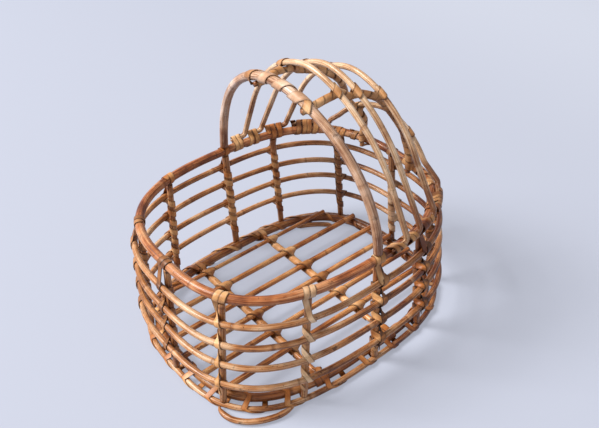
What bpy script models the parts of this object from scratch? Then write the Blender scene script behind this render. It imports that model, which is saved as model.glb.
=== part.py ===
"""Hooded rattan basket: an open oval basket of bent canes with a fixed half hood at its head end.

Thick hoops make the rim and the base, upright stakes join them, thin canes run round outside the stakes,
and strips of split cane lash every crossing. +X points to the head end, +Z up, and the origin is on the
ground under the middle of the basket.
"""

from bisect import bisect_right
from math import acos, ceil, copysign, cos, pi, radians, sin, sqrt

import bmesh
import bpy
from mathutils import Vector

# Plan of the basket: the stakes' line at the ground and at the rim, widest a little toward the head
BASE_LENGTH = 0.383
BASE_WIDTH = 0.293
RIM_LENGTH = 0.356
RIM_WIDTH = 0.292
RIM_SETBACK = 0.007
WIDEST_OFFSET = 0.008
RIM_HEIGHT = 0.173
BASE_OVAL_POWER = 2.95
RIM_FOOT_POWER = 2.75
RIM_HEAD_POWER = 2.5

# Diameters of the canes
RIM_CANE = 0.0115
BASE_CANE = 0.0115
STAKE_CANE = 0.0085
MIDDLE_STAKE_CANE = 0.0095
WEAVER_CANE = 0.0078
RING_CANE = 0.0075
SLAT_CANE = 0.0080
THIN_SLAT_CANE = 0.0060
CROSSBAR_CANE = 0.0080
ARCH_CANE = 0.0115
RIB_CANE = 0.0075
STRINGER_CANE = 0.0065

# Strips of split cane, the clearance that pieces keep, and the flat worn under the base's strip
WIDE_STRIP = 0.0070
STRIP = 0.0052
STRIP_THICKNESS = 0.0010
TURN_GAP = 0.0007
GAP = 0.0003
WORN_FLAT = 0.0005

# Stakes in pairs: polar angle at the ground and at the rim, in degrees from the head end
STAKE_PAIRS = (
    ("head_corner", 29.6, 30.2),
    ("head_side", 59.5, 61.9),
    ("middle", 90.0, 91.0),
    ("foot_side", 128.5, 125.2),
    ("foot_corner", 156.5, 154.0),
)

# Base, walls and floor: heights and overhangs, the weavers' heights as shares of the way from ring to rim,
# and the slats' and crossbars' places as shares of the base's half width and half length
BASE_HOOP_HEIGHT = 0.0100
RING_OFFSET = 0.0015
SLAT_OVERHANG = 0.0035
WEAVER_PLACE_SHARES = (0.257, 0.452, 0.637, 0.822)
SLAT_PLACE_SHARES = (0.721, 0.455, 0.196, -0.025, -0.288, -0.529)
CROSSBAR_PLACE_SHARES = (-0.365, 0.227)

# Loose ends of the ground ring: the bowed overlap of its splice, and the sprung end under the floor
SPLICE_BOW = 0.0105
SPLICE_SKEW_POWER = 0.66
SPLICE_FROM = -157.0
SPLICE_TO = -133.0
TAIL_FROM = 54.0
TAIL_LENGTH = 0.052
TAIL_TURN = 0.018

# Hood: the front arch, then each rib: its tail's tip and its foot as shares of the rim's half length, its
# inset as a share of the rim's half width, its rise and its lean as shares of the arch's rise, and its power
ARCH_RISE = 0.166
ARCH_LEAN = -0.021
ARCH_POWER = 1.95
LEAN_POWER = 1.9
RIB_SHARES = (
    ("hood_rib_1", 0.079, 0.213, 0.007, 1.042, -0.108, 1.74),
    ("hood_rib_2", 0.246, 0.355, 0.038, 0.988, -0.072, 1.72),
    ("hood_rib_3", 0.406, 0.548, 0.045, 0.880, -0.036, 1.82),
    ("hood_rib_4", 0.590, 0.812, 0.030, 0.434, 0.048, 1.72),
)
RIB_BEND = 0.009
LEG_SHARE = 0.45
TAIL_LEAN = 45.0
STRINGER_PLACE = 0.045
STRINGER_REST = 0.008

# Fineness of the canes, and turns of the strips
HOOP_BEND = 9.0
LEG_STEPS = 7
BEND_STEPS = 4
CROWN_STEPS = 3
STRINGER_STEPS = 5
TURN_STATIONS = 8
SPIRAL_STEP = 60
SLANT_STEP = 39.5
RIM_TURNS = 1.5
TURNS_PER_SPAN = 2
STRINGER_TURNS = 1
TAIL_TURNS = 1.5

UP = Vector((0, 0, 1))
ROUND_SHARE = 1 / cos(pi / TURN_STATIONS)
SLANT_SHARE = 1 / cos(radians(SLANT_STEP))


def strip_reach(radius):
    """How far from a cane's middle the next piece stays, past a strip wound round the cane."""
    return (radius + GAP) * ROUND_SHARE + STRIP_THICKNESS + GAP


RIM_RADIUS = RIM_CANE / 2
STAKE_RADIUS = STAKE_CANE / 2
RING_RADIUS = RING_CANE / 2
BASE_RADIUS = BASE_CANE / 2
RING_HEIGHT = strip_reach(RING_RADIUS) - GAP - WORN_FLAT
STAKE_FOOT = RING_HEIGHT + RING_RADIUS + GAP
HOOP_OFFSET = STAKE_RADIUS - MIDDLE_STAKE_CANE - GAP - BASE_RADIUS
WEAVER_OFFSET = STAKE_RADIUS + WEAVER_CANE / 2 + GAP
SLAT_BOTTOM = BASE_HOOP_HEIGHT + strip_reach(BASE_RADIUS)
CROSSBAR_HEIGHT = SLAT_BOTTOM - GAP - CROSSBAR_CANE / 2
STAKE_TOP = RIM_HEIGHT - strip_reach(RIM_RADIUS)
RIM_SEAT = RIM_HEIGHT + strip_reach(RIM_RADIUS)
TAIL_REACH = RIM_RADIUS + RIB_CANE / 2 + GAP * 2

RIM_SKIN = (0.52, 0.24, 0.09)
PALE_SKIN = (0.62, 0.42, 0.24)
CORE = (0.55, 0.31, 0.13)
SLAT_SKIN = (0.58, 0.33, 0.13)
SPLIT = (0.66, 0.42, 0.19)


def new_collection(name):
    group = bpy.data.collections.new(name)
    bpy.context.scene.collection.children.link(group)
    return group


for item in list(bpy.data.objects):
    bpy.data.objects.remove(item, do_unlink=True)
BASKET = new_collection("hooded_rattan_basket")
CUTTERS = new_collection("cutters")


def cane_material(name, colour, roughness):
    material = bpy.data.materials.new(name + "_material")
    material.use_nodes = True
    shader = material.node_tree.nodes["Principled BSDF"]
    shader.inputs["Base Color"].default_value = (*colour, 1)
    shader.inputs["Roughness"].default_value = roughness
    shader.inputs["Metallic"].default_value = 0
    return material


def halve(low, high, is_low):
    """The place between low and high where is_low stops being true."""
    for _ in range(40):
        middle = (low + high) / 2
        if is_low(middle):
            low = middle
        else:
            high = middle
    return low


def outline(angle, length, width, setback, foot_power, head_power):
    """Point of a squared oval at a polar angle round its widest place."""
    run, rise = cos(angle), sin(angle)
    headward = run > 0
    reach = length / 2 - WIDEST_OFFSET if headward else length / 2 + WIDEST_OFFSET
    power = head_power if headward else foot_power
    radius = (abs(run / reach) ** power + abs(rise * 2 / width) ** power) ** (-1 / power)
    return Vector((WIDEST_OFFSET - setback + radius * run, radius * rise, 0))


def wall_point(angle, height):
    """Point of the stakes' wall, which leans straight from the base's oval to the rim's."""
    low = outline(angle, BASE_LENGTH, BASE_WIDTH, 0, BASE_OVAL_POWER, BASE_OVAL_POWER)
    high = outline(angle, RIM_LENGTH, RIM_WIDTH, RIM_SETBACK, RIM_FOOT_POWER, RIM_HEAD_POWER)
    point = low.lerp(high, height / RIM_HEIGHT)
    point.z = height
    return point


def wall_run(angle, height):
    """The wall's level run at an angle, as a length for each radian."""
    step = radians(0.5)
    return (wall_point(angle + step, height) - wall_point(angle - step, height)) / (2 * step)


def across(angle, height):
    return wall_run(angle, height).normalized()


def wall(angle, height, offset=0):
    """Point set out from the wall by offset along its level normal."""
    return wall_point(angle, height) + across(angle, height).cross(UP) * offset


def angle_at_x(x, height=RIM_HEIGHT, offset=0):
    return halve(0, pi, lambda angle: wall(angle, height, offset).x > x)


def angle_at_y(y, height=RIM_HEIGHT, offset=0, start=0):
    return halve(start, pi / 2, lambda angle: wall(angle, height, offset).y < y)


def stake_angle(pair, height):
    _, low, high = pair
    return radians(low + (high - low) * height / RIM_HEIGHT)


def stakes():
    """Each stake's name, its angle at a height as a function, and its diameter."""
    yield "head", lambda height: 0, STAKE_CANE
    yield "foot", lambda height: pi, STAKE_CANE
    for pair in STAKE_PAIRS:
        diameter = MIDDLE_STAKE_CANE if pair[0] == "middle" else STAKE_CANE
        yield pair[0] + "_far", lambda height, pair=pair: stake_angle(pair, height), diameter
        yield pair[0] + "_near", lambda height, pair=pair: 2 * pi - stake_angle(pair, height), diameter


def spans(height):
    """Start and end angles of every span between neighbouring stakes, all the way round."""
    angles = sorted(angle(height) for _, angle, _ in stakes())
    return list(zip(angles, angles[1:] + [angles[0] + 2 * pi]))


def hoop_angles(height):
    """Angles of a hoop's points: one at every stake, and more where the hoop bends most."""
    angles = []
    for start, end in spans(height):
        steps = ceil(across(start, height).angle(across(end, height)) / radians(HOOP_BEND))
        angles += [start + (end - start) * step / steps for step in range(steps)]
    return angles


def hoop_line(height, offset=0):
    """A hoop's points, and the place at any angle on the straight pieces between them."""
    angles = hoop_angles(height)
    points = [wall(angle, height, offset) for angle in angles]
    angles.append(2 * pi)

    def place(angle):
        number = bisect_right(angles, angle % (2 * pi)) - 1
        start, end = angles[number], angles[number + 1]
        return points[number].lerp(points[(number + 1) % len(points)], (angle % (2 * pi) - start) / (end - start))

    return points, place


def cane(name, points, diameter, colour, closed=False, sides=8, roughness=0.5):
    """A cane: a tube along the points, with cut ends unless it closes on itself."""
    curve = bpy.data.curves.new(name, "CURVE")
    curve.dimensions = "3D"
    curve.twist_mode = "Z_UP" if closed else "MINIMUM"
    curve.bevel_depth = diameter / 2
    curve.bevel_resolution = (sides - 4) // 2
    curve.use_fill_caps = not closed
    spline = curve.splines.new("POLY")
    spline.points.add(len(points) - 1)
    for knot, point in zip(spline.points, points):
        knot.co = (*point, 1)
    spline.use_cyclic_u = closed
    curve.materials.append(cane_material(name, colour, roughness))
    BASKET.objects.link(bpy.data.objects.new(name, curve))


def hug(canes, origin, axis, direction, slack=ROUND_SHARE):
    """Where a strip, drawn tight round each cane, lies in one direction of the plane across an axis."""
    points = []
    for middle, run, radius in canes:
        lean = run.dot(axis)
        centre = middle + run * ((origin - middle).dot(axis) / lean)
        tight = (radius + GAP) * slack
        slant = run - axis * lean
        if slant.length < radians(1):
            points.append(centre + direction * tight)
            continue
        slant.normalize()
        beside = axis.cross(slant)
        long_part = slant * (direction.dot(slant) * tight / abs(lean))
        short_part = beside * (direction.dot(beside) * tight)
        spread = (long_part + short_part).length
        points.append(centre + (long_part * (tight / abs(lean)) + short_part * tight) / spread)
    return points


def tighten(look, turns, first=None, last=None):
    """Stations drawn over whichever cane is outermost; the strip runs straight from one to the next."""

    def reach(turn, cane):
        sides, direction = look(turn)
        return sum(points[cane].dot(direction) if cane < len(points) else -RIM_LENGTH for points in sides)

    def station(turn, cane):
        sides, direction = look(turn)
        return (*(points[min(cane, len(points) - 1)] for points in sides), direction)

    route = [] if first is None else [(turns[0], first)]
    for turn in turns:
        canes = range(max(len(points) for points in look(turn)[0]))
        outer = max(canes, key=lambda cane: reach(turn, cane))
        if route and route[-1][1] != outer:
            before, held = route[-1]
            swap = halve(before, turn, lambda at: reach(at, held) > reach(at, outer))
            route += [(swap, held), (swap, outer)]
        route.append((turn, outer))
    if last is not None:
        route.append((turns[-1], last))
    return [station(*knot) for knot, before in zip(route, [None] + route) if knot != before]


def spiral(place, stops, width=STRIP):
    """Stations of a strip wound along hoops; stops give turns and places, a turn starting outward."""

    def look(turn):
        before = next(number for number in range(len(stops) - 1) if turn <= stops[number + 1][0])
        (start, spot), (end, next_spot) = stops[before], stops[before + 1]
        middle = spot + (next_spot - spot) * (turn - start) / (end - start)
        spin = 2 * pi * turn
        sides = []
        for distance in (-width / 2, width / 2):
            origin, axis, canes = place(middle, distance)
            side = axis.cross(UP)
            direction = side * cos(spin) + axis.cross(side) * sin(spin)
            sides.append(hug(canes, origin, axis, direction))
        return sides, direction

    count = round((stops[-1][0] - stops[0][0]) * TURN_STATIONS)
    return tighten(look, [stops[0][0] + step / TURN_STATIONS for step in range(count + 1)])


def over(main, cross, out, hand=1, first=-90):
    """Stations of a strip that passes slantwise over the place where two canes cross."""
    slant = (main[1] + out.cross(main[1]) * hand).normalized()
    axis = out.cross(slant)
    middle = (main[0] + cross[0]) / 2

    def look(degrees):
        turn = radians(degrees)
        direction = (out * cos(turn) + slant * (sqrt(2) * sin(turn))).normalized()
        ends = [middle + axis * (side * STRIP / 2) for side in (-1, 1)]
        sides = [hug([main, cross], end, axis, direction, SLANT_SHARE) for end in ends]
        return sides, direction

    return tighten(look, range(first, 91, 45), 0 if first == -90 else None, 0)


def behind(path, radius, start, end, hand=1, extra_turns=0, last=210):
    """Stations of a strip that spirals round one cane from one crossing to the next."""
    final = last + 360 * extra_turns
    stations = []
    for degrees in range(90 + SPIRAL_STEP, final + 1, SPIRAL_STEP):
        centre, along, out = path(start + (end - start) * (degrees - 90) / (final + SPIRAL_STEP - 90))
        turn = radians(degrees)
        direction = out * cos(turn) + out.cross(along) * (hand * sin(turn))
        middle = centre + direction * ((radius + GAP) * SLANT_SHARE)
        rung = along * (hand * STRIP / sqrt(2))
        stations.append((middle + rung, middle - rung, direction))
    return stations


TURN_GAPS = []


def strip(name, stations):
    """One unbroken strip of split cane through the stations, thickened away from the canes."""
    mesh = bmesh.new()
    ends = []
    for low, high, _ in stations:
        if not ends:
            ends = [mesh.verts.new(low), mesh.verts.new(high)]
            mesh.edges.new(ends)
            continue
        grown = bmesh.ops.extrude_edge_only(mesh, edges=[mesh.edges.get(ends)])["geom"]
        fresh = [part for part in grown if isinstance(part, bmesh.types.BMVert)]
        joined = [edge.other_vert(fresh[0]) for edge in fresh[0].link_edges]
        ends = fresh if ends[0] in joined else fresh[::-1]
        ends[0].co, ends[1].co = low, high
    bmesh.ops.recalc_face_normals(mesh, faces=mesh.faces)
    outwards = [station[2] for station in stations]
    if sum(face.normal.dot(outward) for face, outward in zip(mesh.faces, outwards)) < 0:
        bmesh.ops.reverse_faces(mesh, faces=mesh.faces)
    data = bpy.data.meshes.new(name)
    mesh.to_mesh(data)
    mesh.free()
    data.materials.append(cane_material(name, SPLIT, 0.55))
    item = bpy.data.objects.new(name, data)
    BASKET.objects.link(item)
    thick = item.modifiers.new("thickness", "SOLIDIFY")
    thick.thickness = STRIP_THICKNESS
    thick.offset = 1
    gaps = []
    for number, here in enumerate(stations):
        for there in stations[number + TURN_STATIONS // 2 + 1:]:
            gaps += [(a - b).length for a in here[:2] for b in there[:2]]
    TURN_GAPS.append(min(gaps))
    return item


RIM_POINTS, rim_point = hoop_line(RIM_HEIGHT)
HOOP_POINTS, hoop_point = hoop_line(BASE_HOOP_HEIGHT, HOOP_OFFSET)
RING_POINTS, ring_point = hoop_line(RING_HEIGHT, RING_OFFSET)


def tail_point(angle):
    """Place on a rib's tail, which lies along the rim's upper outer side."""
    out = across(angle, RIM_HEIGHT).cross(UP)
    lean = radians(TAIL_LEAN)
    return rim_point(angle) + (out * sin(lean) + UP * cos(lean)) * TAIL_REACH


def rib_marks(number):
    """Where along the rim a rib's tail starts, where it starts to bend, and where its leg stands."""
    _, tip, foot = RIB_SHARES[number][:3]
    return tip * RIM_LENGTH / 2, foot * RIM_LENGTH / 2 - RIB_BEND, foot * RIM_LENGTH / 2


def rim_place(spot, distance, tails=()):
    """Origin, axis and canes for a strip round the rim; spot is an angle from the head end."""
    angle = spot + distance / wall_run(spot, RIM_HEIGHT).length
    axis = across(angle, RIM_HEIGHT)
    centre = rim_point(angle)
    canes = [(centre, axis, RIM_RADIUS)]
    if any(tip - RIB_BEND / 2 < centre.x < bend + RIB_BEND / 2 for tip, bend in tails):
        canes.append((tail_point(angle), axis, RIB_CANE / 2))
    return centre, axis, canes


def ground_place(spot, distance):
    """Origin, axis and canes for a strip round the base hoop and the ring outside it."""
    angle = spot + distance / wall_run(spot, 0).length
    axis = across(angle, 0)
    hoop, ring = hoop_point(angle), ring_point(angle)
    return (hoop + ring) / 2, axis, [(hoop, axis, BASE_RADIUS), (ring, axis, RING_RADIUS)]


def build_hoops():
    cane("rim_hoop", RIM_POINTS, RIM_CANE, RIM_SKIN, closed=True, roughness=0.42)
    cane("base_hoop", HOOP_POINTS, BASE_CANE, CORE, closed=True)


def weaver_height(row):
    return RING_HEIGHT + (RIM_HEIGHT - RING_HEIGHT) * WEAVER_PLACE_SHARES[row - 1]


def build_weavers():
    for row in range(1, len(WEAVER_PLACE_SHARES) + 1):
        points, _ = hoop_line(weaver_height(row), WEAVER_OFFSET)
        cane(f"weaver_{row}", points, WEAVER_CANE, CORE, closed=True, sides=6)


def build_ring():
    """The ring on the ground, the bowed overlap of its splice, and its sprung inner end."""
    cane("ground_ring", RING_POINTS, RING_CANE, CORE, closed=True, sides=6)

    steps = 8
    bow = []
    for step in range(steps + 1):
        angle = radians(SPLICE_FROM + (SPLICE_TO - SPLICE_FROM) * step / steps)
        aside = RING_CANE + GAP + SPLICE_BOW * sin(pi * (step / steps) ** SPLICE_SKEW_POWER)
        bow.append(ring_point(angle) + across(angle, RING_HEIGHT).cross(UP) * aside)
    cane("ground_ring_splice", bow, RING_CANE, CORE, sides=6)

    angle = radians(TAIL_FROM)
    root = wall(angle, RING_HEIGHT, HOOP_OFFSET - BASE_RADIUS - RING_RADIUS)
    along = -across(angle, 0)
    tail = []
    for step in range(steps + 1):
        share = step / steps
        tail.append(root + along * (TAIL_LENGTH * share) + along.cross(UP) * (TAIL_TURN * share * share))
    cane("ground_ring_tail", tail, RING_CANE, CORE, sides=6)


def stake_line(angle, diameter):
    """Foot and top of a stake, its outer face in line with the others."""
    inset = STAKE_RADIUS - diameter / 2
    return wall(angle(STAKE_FOOT), STAKE_FOOT, inset), wall(angle(STAKE_TOP), STAKE_TOP, inset)


def build_stakes():
    for name, angle, diameter in stakes():
        foot, top = stake_line(angle, diameter)
        cane("stake_" + name, [foot, top], diameter, CORE)
        build_stake_lashing(name, angle, diameter / 2, foot, top)


def build_stake_lashing(name, angle, radius, foot, top):
    """A strip that turns round the rim, crosses each weaver slantwise and ends low on the stake."""
    down = (foot - top).normalized()

    def path(fall):
        """Middle, run and outward side of the stake, a height down from the rim."""
        height = RIM_HEIGHT - fall
        level = across(angle(height), height)
        return top + down * ((height - top.z) / down.z), down, level.cross(-down).normalized()

    tip, bend, _ = rib_marks(2)
    tails = [(tip - WIDE_STRIP / 2, bend)] if name.startswith("head_side") else []
    spot = angle(RIM_HEIGHT)
    half = RIM_TURNS * (WIDE_STRIP + TURN_GAP) / 2 / wall_run(spot, RIM_HEIGHT).length
    stops = [(1 / 8 - RIM_TURNS, spot + half), (1 / 8, spot - half)]
    stations = spiral(lambda at, distance: rim_place(at, distance, tails), stops, WIDE_STRIP)
    last = None
    for row in range(len(WEAVER_PLACE_SHARES), 0, -1):
        height = weaver_height(row)
        fall = RIM_HEIGHT - height
        if last is not None:
            stations += behind(path, radius, last, fall - radius)
        middle, along, out = path(fall)
        weaver = (wall(angle(height), height, WEAVER_OFFSET), across(angle(height), height), WEAVER_CANE / 2)
        stations += over((middle, along, radius), weaver, out, 1, -45 if last is None else -90)
        last = fall + radius
    stations += behind(path, radius, last, last + radius * 4, 1, 0, 330)
    strip("stake_lashing_" + name, stations)


def build_ground_lashing():
    """One strip spiralling all round the base: it ties the ring to the hoop between the stakes."""
    stops = []
    turn = 1 / 4
    for start, end in spans(0):
        stops.append((turn, start))
        turn += TURNS_PER_SPAN
    stops.append((turn - 1 / 2, end - (end - start) / TURNS_PER_SPAN / 2))
    item = strip("ground_lashing", spiral(ground_place, stops))
    mesh = bmesh.new()
    bmesh.ops.create_cube(mesh, size=BASE_LENGTH * 2)
    bmesh.ops.translate(mesh, vec=UP * -BASE_LENGTH, verts=mesh.verts)
    data = bpy.data.meshes.new("ground_cutter")
    mesh.to_mesh(data)
    mesh.free()
    cutter = bpy.data.objects.new("ground_cutter", data)
    cutter.hide_render = True
    cutter.display_type = "WIRE"
    CUTTERS.objects.link(cutter)
    flat = item.modifiers.new("worn_flat", "BOOLEAN")
    flat.operation = "DIFFERENCE"
    flat.solver = "EXACT"
    flat.object = cutter


def slats():
    """Each slat's place across the floor, and its radius."""
    for number, share in enumerate(SLAT_PLACE_SHARES):
        diameter = THIN_SLAT_CANE if number == 0 else SLAT_CANE
        yield share * BASE_WIDTH / 2, diameter / 2


def build_floor():
    for number, (place, radius) in enumerate(slats(), 1):
        height = SLAT_BOTTOM + radius
        overhang = SLAT_OVERHANG * (1 - abs(place) * 2 / BASE_WIDTH)
        head = hoop_point(angle_at_y(abs(place), BASE_HOOP_HEIGHT, HOOP_OFFSET)).x + overhang
        foot = hoop_point(angle_at_y(abs(place), BASE_HOOP_HEIGHT, HOOP_OFFSET, pi)).x - overhang
        ends = [Vector((foot, place, height)), Vector((head, place, height))]
        cane(f"floor_slat_{number}", ends, radius * 2, SLAT_SKIN)
    for name, share in zip(("foot", "head"), CROSSBAR_PLACE_SHARES):
        x = share * BASE_LENGTH / 2
        reach = hoop_point(angle_at_x(x, BASE_HOOP_HEIGHT, HOOP_OFFSET)).y - BASE_RADIUS - GAP
        ends = [Vector((x, side * reach, CROSSBAR_HEIGHT)) for side in (1, -1)]
        cane("crossbar_" + name, ends, CROSSBAR_CANE, SLAT_SKIN)
        build_crossbar_lashing(name, x)


def build_crossbar_lashing(name, x):
    """A strip that runs along a crossbar and passes slantwise over each slat."""
    along = Vector((0, -1, 0))
    radius = CROSSBAR_CANE / 2

    def path(spot):
        return Vector((x, -spot, CROSSBAR_HEIGHT)), along, UP

    stations = []
    last = None
    for place, slat_radius in slats():
        if last is not None:
            stations += behind(path, radius, last, -place - radius)
        slat = (Vector((x, place, SLAT_BOTTOM + slat_radius)), Vector((1, 0, 0)), slat_radius)
        stations += over((path(-place)[0], along, radius), slat, UP)
        last = -place + radius
    stations += behind(path, radius, last, last + radius * 3)
    strip("crossbar_lashing_" + name, stations)


def arch_point(turn, foot, lean, rise, power):
    """Point of a hood hoop: turn runs from 0 at the far foot over the crown to pi at the near foot."""
    climb = abs(sin(turn)) ** (2 / power)
    spread = copysign(abs(cos(turn)) ** (2 / power), cos(turn))
    return Vector((foot.x + lean * climb ** LEAN_POWER, foot.y * spread, RIM_HEIGHT + rise * climb))


def arch_shape():
    """The front arch stands over the middle stakes."""
    middle = next(pair for pair in STAKE_PAIRS if pair[0] == "middle")
    return wall(stake_angle(middle, RIM_HEIGHT), RIM_HEIGHT), ARCH_LEAN, ARCH_RISE, ARCH_POWER


def rib_shape(number):
    _, _, _, inset, rise, lean, power = RIB_SHARES[number]
    foot_x = rib_marks(number)[2]
    foot = wall(angle_at_x(foot_x), RIM_HEIGHT)
    foot.y -= inset * RIM_WIDTH / 2
    return Vector((foot_x, foot.y, RIM_HEIGHT)), lean * ARCH_RISE, rise * ARCH_RISE, power


def half_arch(shape, bottom):
    """Points of the far half from the height bottom to just short of the crown, one over the stringer."""
    first = halve(0, pi / 2, lambda turn: arch_point(turn, *shape).z < bottom)
    joint = turn_over_stringer(shape)
    turns = [first + (joint - first) * step / LEG_STEPS for step in range(LEG_STEPS)]
    turns += [joint + (pi / 2 - joint) * step / CROWN_STEPS for step in range(CROWN_STEPS)]
    return [arch_point(turn, *shape) for turn in turns]


def turn_over_stringer(shape):
    return acos((STRINGER_PLACE / shape[0].y) ** (shape[3] / 2))


def flip(vector, side=-1):
    return Vector((vector.x, vector.y * side, vector.z))


def whole_arch(half, crown):
    return half + [crown] + [flip(point) for point in reversed(half)]


def build_hood():
    shape = arch_shape()
    arch = whole_arch(half_arch(shape, RIM_SEAT), arch_point(pi / 2, *shape))
    cane("hood_front_arch", arch, ARCH_CANE, PALE_SKIN, roughness=0.45)
    for number, rib in enumerate(RIB_SHARES):
        shape = rib_shape(number)
        tip, turn, foot = (angle_at_x(mark) for mark in rib_marks(number))
        half = [tail_point(tip + (turn - tip) * share) for share in (0, 1 / 3, 2 / 3)]
        start, corner = tail_point(turn), tail_point(foot)
        for step in range(BEND_STEPS + 1):
            t = step / BEND_STEPS
            half.append(start.lerp(corner, t).lerp(corner + UP * (RIB_BEND * t), t))
        half += half_arch(shape, RIM_HEIGHT + shape[2] * LEG_SHARE)
        points = whole_arch(half, arch_point(pi / 2, *shape))
        cane(rib[0], points, RIB_CANE, PALE_SKIN, sides=6, roughness=0.45)
    for side, name in ((1, "far"), (-1, "near")):
        build_tail_lashings(name, side)
        build_stringer(name, side)


def build_tail_lashings(name, side):
    """Strips that tie the ribs' tails to the rim: one for the two front ribs, one for the last."""
    tails = [rib_marks(number)[:2] for number in range(len(RIB_SHARES))]
    pitch = STRIP + TURN_GAP

    def place(spot, distance):
        return rim_place(spot, distance, tails)

    def wound(turn, x, turns):
        """Stops of a few close turns that start at x and go on toward the head."""
        start = angle_at_x(x)
        end = start - turns * pitch / wall_run(start, RIM_HEIGHT).length
        return [(turn, side * start), (turn + turns, side * end)]

    first = wound(-1 / 4 - TAIL_TURNS, tails[0][0] + TURN_GAP, TAIL_TURNS)
    second = wound(3 / 4, tails[1][0] + TURN_GAP, TAIL_TURNS)
    strip("tail_lashing_front_" + name, spiral(place, first + second))
    middle = sum(tails[3]) / 2
    strip("tail_lashing_back_" + name, spiral(place, wound(3 / 4, middle - pitch, TAIL_TURNS + 1)))


def hood_crossings():
    """Far side, front to back: the hoop, the stringer under it, each as point, run and radius, and out."""
    hoops = []
    ribs = [(rib_shape(number), RIB_CANE / 2) for number in range(len(RIB_SHARES))]
    for shape, radius in [(arch_shape(), ARCH_CANE / 2)] + ribs:
        turn = turn_over_stringer(shape)
        step = radians(1)
        run = (arch_point(turn + step, *shape) - arch_point(turn - step, *shape)).normalized()
        hoops.append((arch_point(turn, *shape), run, radius))
    angle = angle_at_y(STRINGER_PLACE)
    hoops.append((rim_point(angle), across(angle, RIM_HEIGHT), RIM_RADIUS))
    crossings = []
    for number, (point, run, radius) in enumerate(hoops):
        ahead = -UP
        if number < len(hoops) - 1:
            ahead = hoops[number + 1][0] - hoops[max(number - 1, 0)][0]
            ahead = (ahead - run * ahead.dot(run)).normalized()
        out = ahead.cross(run).normalized()
        if out.dot(point - UP * RIM_HEIGHT) < 0:
            out = -out
        middle = point - out * (radius + STRINGER_CANE / 2 + GAP)
        crossings.append(((point, run, radius), (middle, ahead, STRINGER_CANE / 2), out))
    return crossings


def bend(start, run, end, next_run):
    """Points of a smooth bend from one straight piece to the next, ends included."""
    pull = (end - start).length / 3
    points = []
    for step in range(STRINGER_STEPS + 1):
        t = step / STRINGER_STEPS
        first = start * (1 - t) ** 3 + (start + run * pull) * (3 * t * (1 - t) ** 2)
        points.append(first + (end - next_run * pull) * (3 * t * t * (1 - t)) + end * t ** 3)
    return points


def build_stringer(name, side):
    """A thin cane under the arch and the ribs and down inside the rim, with its strip."""

    def turned(part):
        return flip(part[0], side), flip(part[1], side), part[2]

    crossings = [(turned(hoop), turned(main), flip(out, side)) for hoop, main, out in hood_crossings()]
    middle, ahead, _ = crossings[0][1]
    route = [middle - ahead * ARCH_CANE / 2]
    rest, run = middle + ahead * STRINGER_REST, ahead
    marks = [ARCH_CANE / 2]
    for _, (middle, ahead, _), _ in crossings[1:]:
        route += bend(rest, run, middle - ahead * STRINGER_REST, ahead)
        marks.append(STRINGER_REST + sum((b - a).length for a, b in zip(route, route[1:])))
        rest, run = middle + ahead * STRINGER_REST, ahead
    route.append(middle + ahead * STRINGER_CANE)
    cane("hood_stringer_" + name, route, STRINGER_CANE, RIM_SKIN, sides=6)

    def path(distance):
        """Middle, run and outward side of the stringer at a distance from its front end."""
        left = distance
        for start, end in zip(route, route[1:]):
            length = (end - start).length
            if left <= length:
                break
            left -= length
        along = (end - start).normalized()
        before = min(bisect_right(marks, distance), len(marks) - 1) - 1
        share = (distance - marks[before]) / (marks[before + 1] - marks[before])
        out = crossings[before][2].lerp(crossings[before + 1][2], share)
        return start + along * left, along, (out - along * out.dot(along)).normalized()

    radius = STRINGER_CANE / 2 + GAP * 2
    stations = []
    for number, (hoop, main, out) in enumerate(crossings):
        if number:
            start, end = marks[number - 1] + radius, marks[number] - radius
            stations += behind(path, radius, start, end, -side, STRINGER_TURNS)
        stations += over(main, hoop, out, -side)
    strip("stringer_lashing_" + name, stations)


build_hoops()
build_weavers()
build_ring()
build_stakes()
build_ground_lashing()
build_floor()
build_hood()
print(f"Least gap between turns of a strip: {min(TURN_GAPS) * 1000:.2f} mm")
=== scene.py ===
from bisect import bisect_right
from math import acos, copysign, cos, exp, floor, pi, radians, sin, sqrt
from random import Random

import bmesh
import bpy
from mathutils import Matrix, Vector


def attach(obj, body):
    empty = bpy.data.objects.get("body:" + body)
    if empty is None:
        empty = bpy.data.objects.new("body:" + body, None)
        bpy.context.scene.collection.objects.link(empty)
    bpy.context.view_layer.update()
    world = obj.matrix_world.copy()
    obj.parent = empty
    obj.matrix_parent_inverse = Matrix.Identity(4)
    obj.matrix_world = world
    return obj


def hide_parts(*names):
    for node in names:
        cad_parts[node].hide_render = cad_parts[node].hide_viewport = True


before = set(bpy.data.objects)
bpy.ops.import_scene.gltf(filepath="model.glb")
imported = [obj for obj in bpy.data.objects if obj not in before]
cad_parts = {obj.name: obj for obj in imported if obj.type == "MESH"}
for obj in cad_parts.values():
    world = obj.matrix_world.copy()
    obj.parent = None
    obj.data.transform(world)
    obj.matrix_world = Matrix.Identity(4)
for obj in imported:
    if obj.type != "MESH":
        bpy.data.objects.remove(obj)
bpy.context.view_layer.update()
bpy.ops.object.select_all(action="DESELECT")

# The rim hoop: one thick varnished pole, steamed and bent round on itself to the basket's squared oval,
# a little wider toward the head. It is a round tube along the hoop's line, with the low swollen knots
# that a rattan pole has along it.
BASE_LENGTH, BASE_WIDTH = 0.383, 0.293
RIM_LENGTH, RIM_WIDTH, RIM_SETBACK = 0.356, 0.292, 0.007
WIDEST_OFFSET = 0.008
RIM_HEIGHT = 0.173
BASE_POWER, RIM_FOOT_POWER, RIM_HEAD_POWER = 2.95, 2.75, 2.5
RIM_POLE = 0.0115
UP = Vector((0, 0, 1))


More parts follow.
